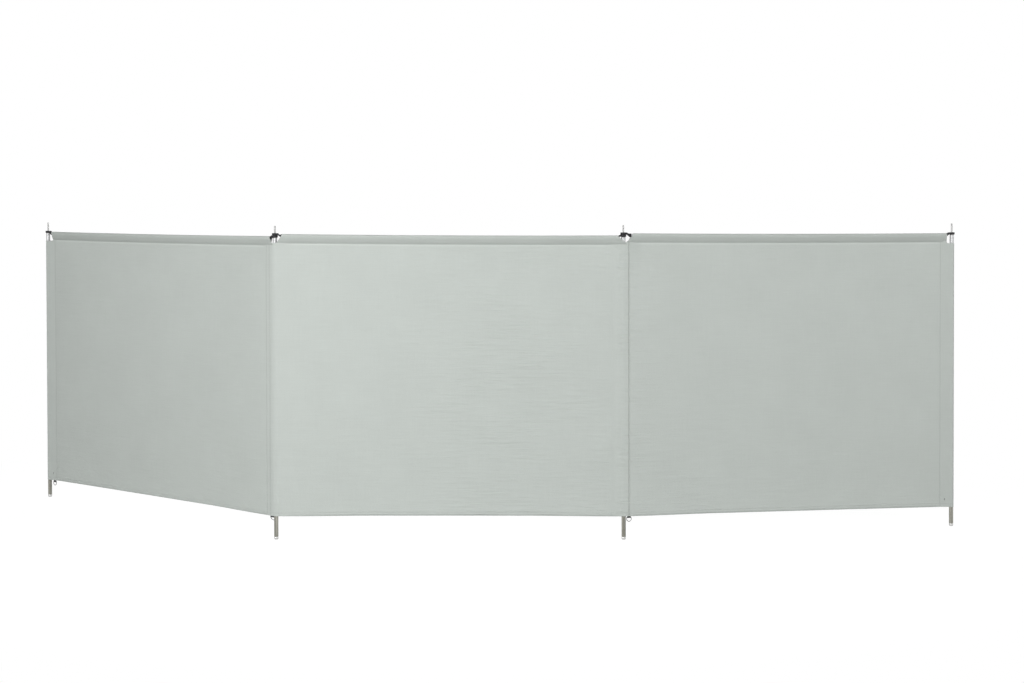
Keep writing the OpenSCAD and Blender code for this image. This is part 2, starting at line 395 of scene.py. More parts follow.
def woven_cloth(f, cloth):
    """Plain weave with slubs, painted highlight on crests, painted shade in seams, and stitches."""
    along, rise = f.attribute("along"), f.attribute("rise")

    def stitches(line, run):
        near = 1 - f.step(abs(f.attribute(line)), 0.3 * MM, 0.7 * MM)
        return near * ((run / (4.2 * MM)).math("FRACT") < 0.72)

    warp = (along * (math.pi / cloth.weave)).math("SINE")
    weft = (rise * (math.pi / cloth.weave)).math("SINE")
    weave = warp * weft
    slub = f.noise(f.place(along * 9, rise * 260), 1.0, 3.0, 0.6)
    warp_slub = f.noise(f.place(along * 240, rise * 7), 1.0, 2.0, 0.6)
    cloud = f.noise(f.place(along, rise), 5.0, 3.0, 0.55)
    sewn = stitches("sew_up", rise).math("MAXIMUM", stitches("sew_level", along))
    crease = f.noise(f.place(along * 7, rise * 72)) * f.attribute("wrinkle")
    tone = (slub - 0.5) * 0.07 + (warp_slub - 0.5) * 0.035 + (cloud - 0.5) * 0.05 + weave * 0.03
    tint = f.blend(f.step(tone, -0.12, 0.12), rgba(cloth.tint, 0.88), rgba(cloth.tint, 1.12))
    # Painted highlight: lighter on the pocket crests and on the ridge below a pocket's seam.
    tint = f.blend(f.attribute("faded"), tint, rgba(cloth.tint, 1.5))
    # Painted shade: darker in seam ditches, under pocket edges, on pockets' lower halves, at the
    # hem and on doubled cloth.
    tint = f.blend(f.attribute("fold") * 0.5, tint, rgba(cloth.tint, 0.42))
    tint = f.blend(sewn * 0.75, tint, rgba(cloth.thread))
    height = weave * 0.3 + slub * 0.6 + warp_slub * 0.3 + sewn * 1.2 + crease * 26
    return f.principled(Base_Color=tint, Roughness=0.86 + (slub - 0.5) * 0.15,
                        Sheen_Weight=0.08, Sheen_Roughness=0.5, Specular_IOR_Level=0.25,
                        Normal=f.bump(height, 0.35 * MM, 0.8))


def galvanised_tube(f, fittings):
    """Dull zinc with a faint spangle, drawn lines and painted reflection stripes, clean above and
    stained near the ground.
    """
    place = f.objects()
    height = f.axis(place, 2)
    spangle = f.node("ShaderNodeTexVoronoi", {"Vector": place, "Scale": 260.0})
    drawn = f.streaks((900, 900, 9))
    # Painted reflections: light and dark stripes that run up the tube.
    painted_reflection_streak = f.step(f.streaks((150, 150, 2)), 0.36, 0.64)
    stain = f.streaks((60, 60, 25), 4.0, 0.65)
    low = 1 - f.step(height, 0.005, 0.075)
    dirt = f.step(stain, 0.48, 0.7) * (low * 0.55 + 0.12)
    clean = f.step(height, 0.5, 1.25)
    dull = f.blend(spangle * 0.2 + drawn * 0.2 + painted_reflection_streak * 0.6,
                   rgba(fittings.tube_tint, 0.5), rgba(fittings.tube_tint, 1.5))
    pale = f.blend(spangle * 0.5 + drawn * 0.3,
                   rgba(fittings.clean_tint, 0.73), rgba(fittings.clean_tint))
    tint = f.blend(dirt, f.blend(clean, dull, pale), rgba(fittings.dirt_tint))
    return f.principled(Base_Color=tint, Metallic=0.12 + clean * 0.45,
                        Roughness=0.36 + drawn * 0.12 + dirt * 0.3, Specular_IOR_Level=0.2,
                        Normal=f.bump(drawn + dirt * 0.6, 0.1 * MM, 0.5))


def turned_steel(f, tint, rough):
    """Turned steel with fine rings and grey scuffs."""
    turned = f.streaks((25, 25, 2600))
    scuff = f.step(f.noise(f.objects(), 190.0, 4.0, 0.7), 0.52, 0.72)
    return f.principled(Base_Color=f.blend(scuff * 0.6, rgba(tint), rgba(tint, 0.62)),
                        Metallic=0.85, Roughness=rough + turned * 0.14 + scuff * 0.22,
                        Normal=f.bump(turned + scuff * 0.4, 0.06 * MM, 0.5))


def ring_wire(f, fittings):
    """Bright wire with a few dull scratches."""
    scratch = f.step(f.streaks((300, 300, 1200), 3.0), 0.55, 0.75)
    tint = f.blend(scratch * 0.5, rgba(fittings.wire_tint, 1.15), rgba(fittings.wire_tint, 0.6))
    return f.principled(Base_Color=tint, Metallic=0.9, Roughness=0.22 + scratch * 0.3)


def moulded_nylon(f, fittings):
    """Black nylon with a fine moulded grain and rubbed, greyer spots."""
    place = f.objects()
    grain = f.noise(place, 1500.0)
    rub = f.step(f.noise(place, 120.0, 3.0, 0.6), 0.55, 0.8)
    tint = f.blend(rub * 0.5, rgba(fittings.nylon_tint), rgba(fittings.nylon_tint, 2.6))
    return f.principled(Base_Color=tint, Roughness=0.4 + grain * 0.14 + rub * 0.15,
                        Specular_IOR_Level=0.2, Normal=f.bump(grain, 0.08 * MM, 0.6))


def black_webbing(f, fittings):
    """Black webbing, ribbed along and across."""
    along, rise = f.attribute("along"), f.attribute("rise")
    rib = abs((along * (math.pi / (1.6 * MM))).math("SINE"))
    cross = abs((rise * (math.pi / (1.1 * MM))).math("SINE"))
    fuzz = f.noise(f.place(along * 900, rise * 900), 1.0, 3.0)
    tint = f.blend(rib * 0.45 + cross * 0.3 + fuzz * 0.25,
                   rgba(fittings.webbing_tint, 0.6), rgba(fittings.webbing_tint, 1.9))
    return f.principled(Base_Color=tint, Roughness=0.75 + fuzz * 0.15, Sheen_Weight=0.2,
                        Normal=f.bump(rib * 0.7 + cross * 0.5 + fuzz * 0.3, 0.3 * MM, 0.8))


def tack_thread(f, cloth):
    """Dark thread with a slight twist."""
    twist = f.noise(f.objects(), 2600.0)
    tint = f.blend(twist, rgba(cloth.tack, 0.7), rgba(cloth.tack, 1.5))
    return f.principled(Base_Color=tint, Roughness=0.7 + twist * 0.2,
                        Normal=f.bump(twist, 0.1 * MM, 0.6))


def finish(maker, *values, name=None):
    """The finish of that name, or of its maker's name, made at its first use."""
    name = name or maker.__name__
    known = bpy.data.materials.get(name)
    return known or maker(Finish(bpy.data.materials.new(name)), *values)


# Shared modelling steps.

def even_steps(start, end, pitch):
    """Places between start and end."""
    count = max(1, round(abs(end - start) / pitch))
    return [start + (end - start) * i / count for i in range(1, count)]


def every(start, end, pitch):
    """Places from start to end, both included."""
    return [start, *even_steps(start, end, pitch), end]


def around(centre, offsets):
    """Places at offsets in mm from a centre."""
    return [centre + o * MM for o in offsets]


def walk(points):
    """The distance walked at each point of a line."""
    steps = [(Vector(b) - Vector(a)).length for a, b in zip(points, points[1:])]
    return [0.0, *accumulate(steps)]


def only(kind, items):
    return [item for item in items if isinstance(item, kind)]


def join_up(bm, verts):
    return [bm.edges.new(pair) for pair in zip(verts, verts[1:])]


def draw_line(bm, points, key):
    """Draws a line of edges, and numbers its points on a layer of that name."""
    layer = bm.verts.layers.int.new(key)
    line = [bm.verts.new(point) for point in points]
    for i, v in enumerate(line):
        v[layer] = i
    return join_up(bm, line)


def extrude_line(bm, edges, by):
    """Extrudes edges and moves the new ones. Returns the new vertices and edges."""
    made = bmesh.ops.extrude_edge_only(bm, edges=edges)["geom"]
    fresh = only(bmesh.types.BMVert, made)
    bmesh.ops.translate(bm, verts=fresh, vec=by)
    kept = set(fresh)
    return fresh, [e for e in only(bmesh.types.BMEdge, made) if set(e.verts) <= kept]


def draw_out(bm, edges, stops):
    """Extrudes edges along +X from stop to stop."""
    for a, b in zip(stops, stops[1:]):
        edges = extrude_line(bm, edges, (b - a, 0, 0))[1]


def face_out(bm):
    """Turns a closed shell that is inside out."""
    if bm.calc_volume(signed=True) < 0:
        bmesh.ops.reverse_faces(bm, faces=bm.faces[:])


def close_sheet(bm, thickness, inner):
    """Gives a sheet its thickness, on the side away from inner(spot), a direction at each face."""
    bmesh.ops.recalc_face_normals(bm, faces=bm.faces[:])
    if sum(f.normal.dot(inner(f.calc_center_median())) * f.calc_area() for f in bm.faces) < 0:
        bmesh.ops.reverse_faces(bm, faces=bm.faces[:])
    bmesh.ops.solidify(bm, geom=bm.faces[:], thickness=thickness)
    face_out(bm)


def spin_round(bm, verts, edges, steps):
    """Spins a profile a full turn round the z axis."""
    bmesh.ops.spin(bm, geom=verts + edges, cent=(0, 0, 0), axis=(0, 0, 1), angle=2 * math.pi,
                   steps=steps, use_merge=True)
    bmesh.ops.remove_doubles(bm, verts=bm.verts[:], dist=1e-6)
    bmesh.ops.recalc_face_normals(bm, faces=bm.faces[:])


def round_edges(bm, edges, by):
    bmesh.ops.bevel(bm, geom=edges, offset=by, offset_type="OFFSET", segments=3, profile=0.5,
                    affect="EDGES", material=-1, clamp_overlap=True)


def move(bm, matrix):
    bmesh.ops.transform(bm, verts=bm.verts[:], matrix=matrix)


def facing(out):
    """Turns +X to a level direction."""
    return Matrix.Rotation(math.atan2(out.y, out.x), 4, "Z")


def show(name, data):
    """A new object in the scene."""
    obj = bpy.data.objects.new(name, data)
    bpy.context.scene.collection.objects.link(obj)
    return obj


def settle(bm, name, material, body=None, sharp=40, replaces=()):
    """Makes the object, shades it, gives it its finish, and lets it ride."""
    mesh = bpy.data.meshes.new(name)
    bm.to_mesh(mesh)
    bm.free()
    mesh.shade_smooth()
    mesh.set_sharp_from_angle(angle=math.radians(sharp))
    mesh.materials.append(material)
    obj = show(name, mesh)
    if body:
        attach(obj, body)
    if replaces:
        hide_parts(*replaces)
    return obj


def set_layers(bm, **values):
    """Stores value(vertex) on each vertex under each name, for the finish to read."""
    for name, value in values.items():
        layer = bm.verts.layers.float.new(name)
        for v in bm.verts:
            v[layer] = value(v)


# The cloth of the bays.

# A column of cloth: its place in plan, the lee direction there, its bay and u, its hem and its top;
# then how freely it waves and how slack it is, its distances from the nearest seam and from the
# nearest row of stitches, how far its top moves to the lee to meet the top pocket, and how much of
# the hem's roll it takes.
Column = namedtuple("Column", "point lee bay u hem top free slack seam sew top_shift roll",
                    defaults=(0.0, 0.0, 1.0, 1.0, 0.0, 0.0))

# Rows above the hem and below the top, and columns about a seam, at the strip's seam and between
# the join and an inner pole, in mm.
LOW_ROWS = (0, 1.2, 2.6, 4.2, 6, 8, 10, 12, 13.4, 14.5, 15.6, 17.5, 20, 24, 30, 38)
HIGH_ROWS = (42, 34, 27, 22, 18, 15, 12.5, 10.5, 9, 7.5, 6, 4.5, 3, 1.5, 0)
DITCH_STEPS = (-9, -6.5, -4.5, -3.2, -2.2, -1.5, -0.9, -0.4, 0,
               0.4, 0.9, 1.5, 2.2, 3.2, 4.5, 6.5, 9)
STRIP_STEPS = (-4, -2.2, -1, 0, 1, 2.2, 4, 7, 11, 16, 23, 32, 42)
CROSSING_STEPS = (43.5, 42, 40.5, 37, 33, 30, 26, 22.5, 19.5, 17, 15, 13)
MIDDLE_ROWS = 130
HEM_STITCH = 14.5 * MM


def wall_rows(column):
    low = [column.hem + h * MM for h in LOW_ROWS]
    high = [column.top - h * MM for h in HIGH_ROWS]
    gap = (high[0] - low[-1]) / MIDDLE_ROWS
    return low + [low[-1] + gap * i for i in range(1, MIDDLE_ROWS)] + high


def tape_rows(column):
    return [column.hem + h * MM for h in LOW_ROWS if h <= 17.5]


def top_edge(bay, u, cloth):
    """Where the cloth ends at the top: inside the pocket's tail, or cut down round an end pole."""
    covered = smooth(0.010, 0.016, u)
    dropped = lift = 0.0
    if bay.ends_inside:
        covered *= smooth(0.010, 0.016, bay.span - u)
    else:
        window = bay.notches[1][0][0]
        dropped = 1 - smooth(window - 0.006, window + 0.010, bay.span - u)
        covered *= 1 - dropped
    if bay is LEFT:
        lift = (MIDDLE.seam_z(0) - bay.seam_z(0)) * (1 - smooth(0.006, 0.018, u))
    return bay.seam_z(u, cloth.sag) + max(lift, cloth.overlap * covered) - cloth.end_drop * dropped


def wall_column(bay, u, cloth, pull=0.0, **more):
    """A column of a bay's wall, pulled to the lee."""
    face = bay.face(u, cloth)
    return Column(bay.at(u, face + pull, 0), bay.lee, bay, u, bay.hem_z(u), top_edge(bay, u, cloth),
                  top_shift=bay.top_face(u, cloth) - face, **more)


def middle_column(u, cloth):
    near = MIDDLE.margin(u)
    return wall_column(MIDDLE, u, cloth, free=smooth(0.05, 0.2, near),
                       slack=mix(0.5, 1, smooth(0, 0.06, near)), roll=smooth(0.01, 0.06, near))


def crossing(bay, cloth):
    """Columns from the join on the middle cloth to the front of the inner pole."""
    towards, start = inner_end(bay)
    half = MIDDLE.lee.angle(bay.lee) / 2
    columns = [middle_column(start + towards * a * MM, cloth)
               for a in (cloth.join / MM, *CROSSING_STEPS)]
    middle_top, outer_top = top_edge(MIDDLE, start, cloth), top_edge(bay, 0.0, cloth)
    inset = cloth.bend - cloth.proud
    centre = bay.origin + (MIDDLE.lee + bay.lee).normalized() * (inset / math.cos(half))
    for i in range(13):
        lee = MIDDLE.lee.slerp(bay.lee, i / 12)
        top = mix(middle_top, outer_top, smooth(0, 1, i / 12))
        columns.append(Column(centre - lee * cloth.bend, lee, bay, 0.0, HEM_INNER, top, slack=0.5))
    return columns, inset * math.tan(half)


def outer_freedom(bay, u, cloth):
    """How freely an outer bay's cloth moves at u."""
    rest = bay.span - u
    return {"free": smooth(0.05, 0.2, u) * smooth(cloth.end_stitch, 0.2, rest),
            "slack": mix(0.5, 1, smooth(0, 0.06, u)) * smooth(0.03, 0.12, rest),
            "roll": smooth(0.01, 0.06, u) * smooth(0.04, 0.09, rest)}


def outer_columns(bay, cloth):
    """Columns of an outer bay's cloth, from the join to the end pole's pocket."""
    columns, tangent = crossing(bay, cloth)
    end = bay.span - cloth.end_stitch
    us = even_steps(tangent, cloth.seam - 0.009, 0.002) + around(cloth.seam, DITCH_STEPS)
    us += even_steps(us[-1], 0.039, 0.002) + around(0.043, STRIP_STEPS)
    us += even_steps(us[-1], end - 0.03, 0.012) + around(end, (-30, -22, -15) + DITCH_STEPS)
    strong, weak = bay.seam_pulls
    slope = (TUBE_R + EASE - cloth.end_proud) / (0.88 * cloth.end_stitch)
    for u in us:
        at_seam, at_strip = u - cloth.seam, u - bay.strip_seam
        at_end = bay.span - u - cloth.end_stitch
        pull = cloth.ditch * (strong * bump_at(at_seam, 0, cloth.ditch_width)
                              + weak * bump_at(at_strip, 0, cloth.ditch_width)
                              + 0.3 * bump_at(at_end, 0, 1.3 * cloth.ditch_width))
        past = max(0.0, -at_end)
        pull -= slope * past ** 2 / (past + 8 * MM)
        seams = ((at_seam, strong), (at_strip, weak), (at_end, 0.35))
        seam = min(abs(gap) / drawn for gap, drawn in seams if drawn)
        sew = min(abs(at_seam - 4.5 * MM), abs(at_strip), abs(at_end))
        columns.append(wall_column(bay, u, cloth, pull, seam=seam, sew=sew,
                                   **outer_freedom(bay, u, cloth)))
    return columns + end_pocket(bay, cloth, columns[-1].point)


def end_pocket(bay, cloth, last):
    """Columns round the end pole and back along the lee side past the stitch line."""
    pole, radius = bay.at(bay.span, 0, 0), TUBE_R + EASE
    away = last - pole
    front = math.atan2(away.dot(bay.lee), away.dot(bay.along)) + math.acos(radius / away.length)
    turn = (-2 * front) % (2 * math.pi)
    arc = [pole + (bay.along * math.cos(a) + bay.lee * math.sin(a)) * radius
           for a in (front + turn * i / 20 for i in range(21))]
    stitch = bay.span - cloth.end_stitch
    goal = bay.at(stitch, bay.face(stitch, cloth) + 0.15 * MM, 0)
    points = [last.lerp(arc[0], i / 8) for i in range(1, 8)] + arc
    points += [arc[-1].lerp(goal, i / 8) for i in range(1, 9)]
    points += [goal - bay.along * (more * MM) for more in (2, 4, 6, 8)]
    columns = []
    for i, point in enumerate(points):
        u = (point - bay.origin).dot(bay.along)
        sew = abs(bay.span - u - cloth.end_stitch) if i > 30 else 1.0
        columns.append(Column(point, bay.lee, bay, u, bay.hem_z(u), top_edge(bay, u, cloth),
                              sew=sew))
    return columns


def across(c):
    """A place along the whole windbreak, for noise that runs on over the seams."""
    return c.point.x + 0.35 * c.point.y


def below_seam(c, z, cloth):
    """How far a height is below the seam of the top pocket."""
    return c.bay.seam_z(c.u, cloth.sag) - z


def waves(c, z, cloth):
    """How far the cloth waves to the lee in that column at that height."""
    x = across(c)
    broad = drift(x * 1.9, 3.7, z * 1.3) + 0.25 * drift(x * 4.1, 9.2, z * 3.3)
    level = 0.6 * drift(x * 3.2, 1.4, z * 26) + 0.6 * drift(x * 7.0, 6.1, z * 58)
    patch = smooth(-0.3, 0.4, drift(x * 1.6 + 4.2, 2.2, z * 1.1))
    edge = smooth(0, 0.12, z - c.hem) * smooth(0, 0.10, c.top - z)
    drawn = drift(x * 9, 7.7, z * 70) * math.exp(-min(c.seam, 1.0) / 0.03)
    shift = c.free * cloth.billow * broad * edge
    shift += c.slack * cloth.fold * level * (0.35 + patch) * smooth(0, 0.03, c.top - z)
    return shift + cloth.pucker * drawn * smooth(0.004, 0.012, c.seam) + corner_fold(c, z)


def corner_fold(c, z):
    """The slack fold that runs up and inward from the tack at an end pole's hem."""
    if c.bay.ends_inside or c.u < 1.0:
        return 0.0
    inward, up = c.bay.span - c.u - 34 * MM, z - c.hem - 38 * MM
    off, run = (inward - up) * 0.707, (inward + up) * 0.707
    if run < 0:
        return 0.0
    fade = smooth(0, 15 * MM, run) * math.exp(-run / 0.07) * smooth(0.012, 0.04, c.bay.span - c.u)
    return 2.0 * MM * fade * (bump_at(off, 0, 7 * MM) - 0.7 * bump_at(off, 15 * MM, 9 * MM))


def hem_roll(c, z, cloth):
    """The hem: rolled under at its edge, full above it, and drawn in by its stitches."""
    h = z - c.hem
    if h > 40 * MM:
        return 0.0
    much = 1 + 0.7 * drift(across(c) * 3.1, 5.5, 1.7)
    under = cloth.roll * max(0.0, 1 - h / (8 * MM)) ** 2
    full = -1.3 * MM * bump_at(h, 10 * MM, 3.5 * MM) + 0.9 * MM * bump_at(h, HEM_STITCH, 1.6 * MM)
    return c.roll * much * (under + full - 0.8 * MM * bump_at(h, 21 * MM, 6 * MM))


def wrinkled(c, z, cloth):
    """How finely wrinkled the cloth is: most by the right inner pole, the hem and mid-bay."""
    low, high = math.exp(-(z - c.hem) / 0.09), math.exp(-max(0.0, c.top - z) / 0.05)
    much = 0.1 + 0.9 * math.exp(-(c.point - RIGHT.origin).length / 0.09)
    patch = 0.75 + 0.8 * drift(c.point.x * 5 + 1.3, 8.8, z * 6)
    if c.bay is MIDDLE:
        much += bump_at(c.u, 1.0, 0.34) * bump_at(z, 0.72, 0.40)
        much += (low + 0.7 * high) * smooth(0.4, 0.7, c.u)
        return much * patch * smooth(1 * MM, 30 * MM, abs(c.bay.margin(c.u) - cloth.join))
    return (much + 0.4 * low + 0.25 * high) * patch * smooth(0.03, 0.10, c.bay.span - c.u)


def painted_fold_shade(c, z, cloth):
    """Painted shade in a seam's ditch, under a pocket's edge, at the hem's edge and over end
    pockets.
    """
    # Painted shade in a seam's ditch.
    ditch = bump_at(c.seam, 0, 1.1 * cloth.ditch_width)
    # Painted shadow under the top pocket's edge.
    edge = bump_at(max(0.0, below_seam(c, z, cloth)), 0, 3 * MM)
    edge *= smooth(0.025, 0.07, c.bay.margin(c.u))
    # Painted shade along the hem's rolled edge.
    hem = 0.5 * c.roll * bump_at(z, c.hem, 4 * MM)
    # Painted shade over an end pole's pocket, where the doubled cloth lets less light through.
    painted_layer_shade = 0.0
    if c.bay is not MIDDLE:
        painted_layer_shade = 0.1 * smooth(-3 * MM, 3 * MM, cloth.end_stitch - c.bay.span + c.u)
    return max(ditch, edge, hem, painted_layer_shade)


def painted_ridge_highlight(c, z, cloth):
    """How much painted highlight the cloth gets on the ridge below a top pocket's seam."""
    ridge = bump_at(below_seam(c, z, cloth), 6 * MM, 4 * MM)
    return 0.22 * ridge * smooth(0.03, 0.09, c.bay.margin(c.u))


def hang(columns, cloth, rows=wall_rows, behind=0.0):
    """Extrudes the plan line of the columns upward row by row, then sets each point's place."""
    bm = bmesh.new()
    row = bm.verts.layers.int.new("row")
    edges = draw_line(bm, [c.point for c in columns], "column")
    column = bm.verts.layers.int["column"]
    heights = [rows(c) for c in columns]
    for r in range(1, len(heights[0])):
        fresh, edges = extrude_line(bm, edges, (0, 0, 0.01))
        for v in fresh:
            v[row] = r
    walked = walk([c.point for c in columns])

    def spot(v):
        return columns[v[column]], heights[v[column]][v[row]]

    for v in bm.verts:
        c, z = spot(v)
        shift = behind + waves(c, z, cloth) + hem_roll(c, z, cloth)
        shift += c.top_shift * (1 - smooth(0.0, 0.16, c.top - z))
        shift -= 1.4 * MM * bump_at(below_seam(c, z, cloth), 6 * MM, 4.5 * MM) * c.free
        v.co = c.point + c.lee * shift + Vector((0, 0, z))
    # Two of these layers carry painted shade and a painted highlight for the finish.
    set_layers(bm, along=lambda v: walked[v[column]], rise=lambda v: spot(v)[1],
               sew_up=lambda v: spot(v)[0].sew,
               sew_level=lambda v: abs(spot(v)[1] - spot(v)[0].hem - HEM_STITCH),
               fold=lambda v: painted_fold_shade(*spot(v), cloth),
               faded=lambda v: painted_ridge_highlight(*spot(v), cloth),
               wrinkle=lambda v: wrinkled(*spot(v), cloth))
    return bm


def plan_length(columns):
    return walk([c.point for c in columns])[-1]


def bend_with(obj, bay, cloth):
    """Bakes a piece's place into its mesh; the places in front of the inner pole where it would
    bend are worked out but not used.
    """
    reach = 14 * MM
    towards = MIDDLE.along * inner_end(bay)[0]
    bay.origin + towards * reach - MIDDLE.lee * cloth.proud
    bay.origin + bay.along * reach - bay.lee * cloth.proud
    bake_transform(obj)


def fasten(bm, name, flat, inner, cloth, rests_on, body=None, bend=None, replaces=(), ply=1.0):
    """Closes a sheet of cloth, and lets it ride on a body; one that would bend with a bay gets its
    place baked.
    """
    close_sheet(bm, ply * cloth.thickness, inner)
    sheet = settle(bm, name, finish(woven_cloth, cloth), body, replaces=replaces)
    if bend:
        bend_with(sheet, bend, cloth)


class WINDBREAK_OT_cloth(bpy.types.Operator):
    """Hangs the cloth of the three bays"""

    bl_idname = "windbreak.cloth"
    bl_label = "Cloth"

    def execute(self, context):
        cloth = context.scene.windbreak_cloth
        rise = MIDDLE.seam_z(MIDDLE.span / 2) - HEM_INNER
        start, end = cloth.join, MIDDLE.span - cloth.join
        us = around(start, (0, 1.5, 3, 4.5, 8)) + even_steps(start + 0.008, end - 0.008, 0.012)
        us += around(end, (-8, -4.5, -3, -1.5, 0))
        columns = [middle_column(u, cloth) for u in us]
        fasten(hang(columns, cloth), "middle_cloth", (plan_length(columns), rise),
               lambda spot: MIDDLE.lee, cloth,
               ["middle_bar", "left_inner_pole", "right_inner_pole"],
               "middle_bay", replaces=("middle_panel",))
        for bay in (LEFT, RIGHT):
            side, columns = bay.name, outer_columns(bay, cloth)
            fasten(hang(columns, cloth), side + "_cloth", (plan_length(columns), rise),
                   lambda spot: bay.lee, cloth,
                   [side + "_bar", side + "_inner_pole", side + "_end_pole"],
                   bend=bay, replaces=(side + "_panel", side + "_end_sleeve"))
        return {"FINISHED"}


class WINDBREAK_OT_hem_tapes(bpy.types.Operator):
    """Sews the hem tapes to the back of the cloth"""

    bl_idname = "windbreak.hem_tapes"
    bl_label = "Hem tapes"

    def execute(self, context):
        cloth = context.scene.windbreak_cloth
        start = 0.052
        for bay in BAYS:
            if bay is MIDDLE:
                columns = [middle_column(u, cloth) for u in every(start, bay.span - start, 0.0105)]
            else:
                columns = [wall_column(bay, u, cloth, **outer_freedom(bay, u, cloth)) for u in
                           every(start, bay.span - (cloth.end_stitch + 10 * MM), 0.0105)]
            fasten(hang(columns, cloth, tape_rows, 0.12 * MM), bay.name + "_hem_tape",
                   (plan_length(columns), cloth.hem), lambda spot: -bay.lee, cloth,
                   [bay.name + "_cloth"], bay.body, ply=0.7)
        return {"FINISHED"}


class WINDBREAK_OT_corner_tacks(bpy.types.Operator):
    """Sews the dense tacks in the corners above the end poles' tabs"""

    bl_idname = "windbreak.corner_tacks"
    bl_label = "Corner tacks"

    def execute(self, context):
        cloth = context.scene.windbreak_cloth
        material = finish(tack_thread, cloth)
        inward, up, slope = 37 * MM, 36 * MM, math.radians(7)
        stitch = Matrix.Diagonal((1.5 * MM, 0.42 * MM, 0.38 * MM, 1))
        for bay in (LEFT, RIGHT):
            # The last 20 columns are on the lee side.
            front = [c for c in outer_columns(bay, cloth) if c.bay is bay and c.u > 1.0][:-20]
            near = min(front, key=lambda c: abs(bay.span - c.u - inward))
            bm = bmesh.new()
            for i in range(15):
                lean = Matrix.Rotation(math.radians(9 if i % 2 else -9), 4, "Y")
                lift = Matrix.Translation((0, 0, (i - 7) * 0.62 * MM))
                bmesh.ops.create_uvsphere(bm, u_segments=8, v_segments=6, radius=1.0,
                                          matrix=lift @ lean @ stitch)
            spot = near.point - bay.lee * (cloth.thickness + 0.15 * MM)
            lean = Matrix.Rotation(-math.copysign(slope, bay.along.x), 4, "Z")
            spot.z += near.hem + up
            move(bm, Matrix.Translation(spot) @ facing(bay.along) @ lean)
            settle(bm, bay.name + "_corner_tack", material, bay.body, sharp=60)
        return {"FINISHED"}


def strip_points(pole, start, end, radius):
    """A taut line from start round the lee side of a pole to end."""
    side = 1 if start.x > end.x else -1

    def touch(point, way):
        away = point - pole
        return math.atan2(away.y, away.x) + way * math.acos(radius / away.length)

    first, last = touch(start, side), touch(end, -side)
    while (last - first) * side < 0:
        last += 2 * math.pi * side
    arc = [pole + Vector((math.cos(a), math.sin(a), 0)) * radius
           for a in (first + (last - first) * i / 18 for i in range(19))]
    return ([start.lerp(arc[0], i / 8) for i in range(8)] + arc
            + [arc[-1].lerp(end, i / 8) for i in range(1, 9)])


class WINDBREAK_OT_pole_strips(bpy.types.Operator):
    """Sews the strips that hold the inner poles from behind"""

    bl_idname = "windbreak.pole_strips"
    bl_label = "Pole strips"

    def execute(self, context):
        cloth = context.scene.windbreak_cloth
        for bay in (LEFT, RIGHT):
            columns = self.columns(bay, cloth)
            fasten(hang(columns, cloth), bay.name + "_pole_strip",
                   (plan_length(columns), columns[0].top - HEM_INNER),
                   lambda spot: bay.origin - spot * Vector((1, 1, 0)), cloth,
                   [bay.first + "_pole"], bend=bay, replaces=(bay.first + "_sleeve",))
        return {"FINISHED"}

    def columns(self, bay, cloth):
        """Columns from the middle cloth round the lee side of the pole to the outer cloth."""
        pole, gap, lap = bay.origin, 0.15 * MM, 6 * MM
        towards, start = inner_end(bay)
        inner_u, outer_u = start + towards * cloth.strip_start, bay.strip_seam
        inner = MIDDLE.at(inner_u, gap - cloth.proud, 0)
        outer = bay.at(outer_u, gap - cloth.proud, 0)
        points = [inner + MIDDLE.along * (towards * lap)]
        points += strip_points(pole, inner, outer, TUBE_R + EASE) + [outer + bay.along * lap]
        columns = []
        for i, point in enumerate(points):
            share = smooth(0.2, 0.8, i / (len(points) - 1))
            seam, own, u, reach = ((outer, bay, outer_u, bay.strip_seam) if share > 0.5
                                   else (inner, MIDDLE, inner_u, cloth.strip_start))
            shift = own.top_face(u, cloth) - own.face(u, cloth)
            top = mix(MIDDLE.seam_z(start), bay.seam_z(0.0), share) - 6 * MM
            columns.append(Column(point, MIDDLE.lee.slerp(bay.lee, share), bay, 0.0,
                                  HEM_INNER + 1 * MM, top, sew=(point - seam).length,
                                  top_shift=smooth(TUBE_R, reach, (point - pole).length) * shift))
        return columns


# The pockets along the top.

# How far a pocket is drawn past the poles before it is trimmed, and how far its fine columns reach.
SPARE, FINE = 0.015, 0.15


def pocket_section(radius, tail, half_gap):
    """Points (n, z) of a pocket, from the tail's front edge over the bar to its back edge."""
    tilt = math.acos(radius / math.hypot(half_gap, tail)) + math.atan2(half_gap, tail)
    side = Vector((-radius * math.sin(tilt), -radius * math.cos(tilt)))
    front = [Vector((-half_gap, -tail)).lerp(side, i / 12) for i in range(13)]
    start, turn = -math.pi / 2 - tilt, 2 * math.pi - 2 * tilt
    crest = [Vector((math.cos(a), math.sin(a))) * radius
             for a in (start - turn * i / 22 for i in range(1, 22))]
    return front + crest + [Vector((-n, z)) for n, z in reversed(front)]


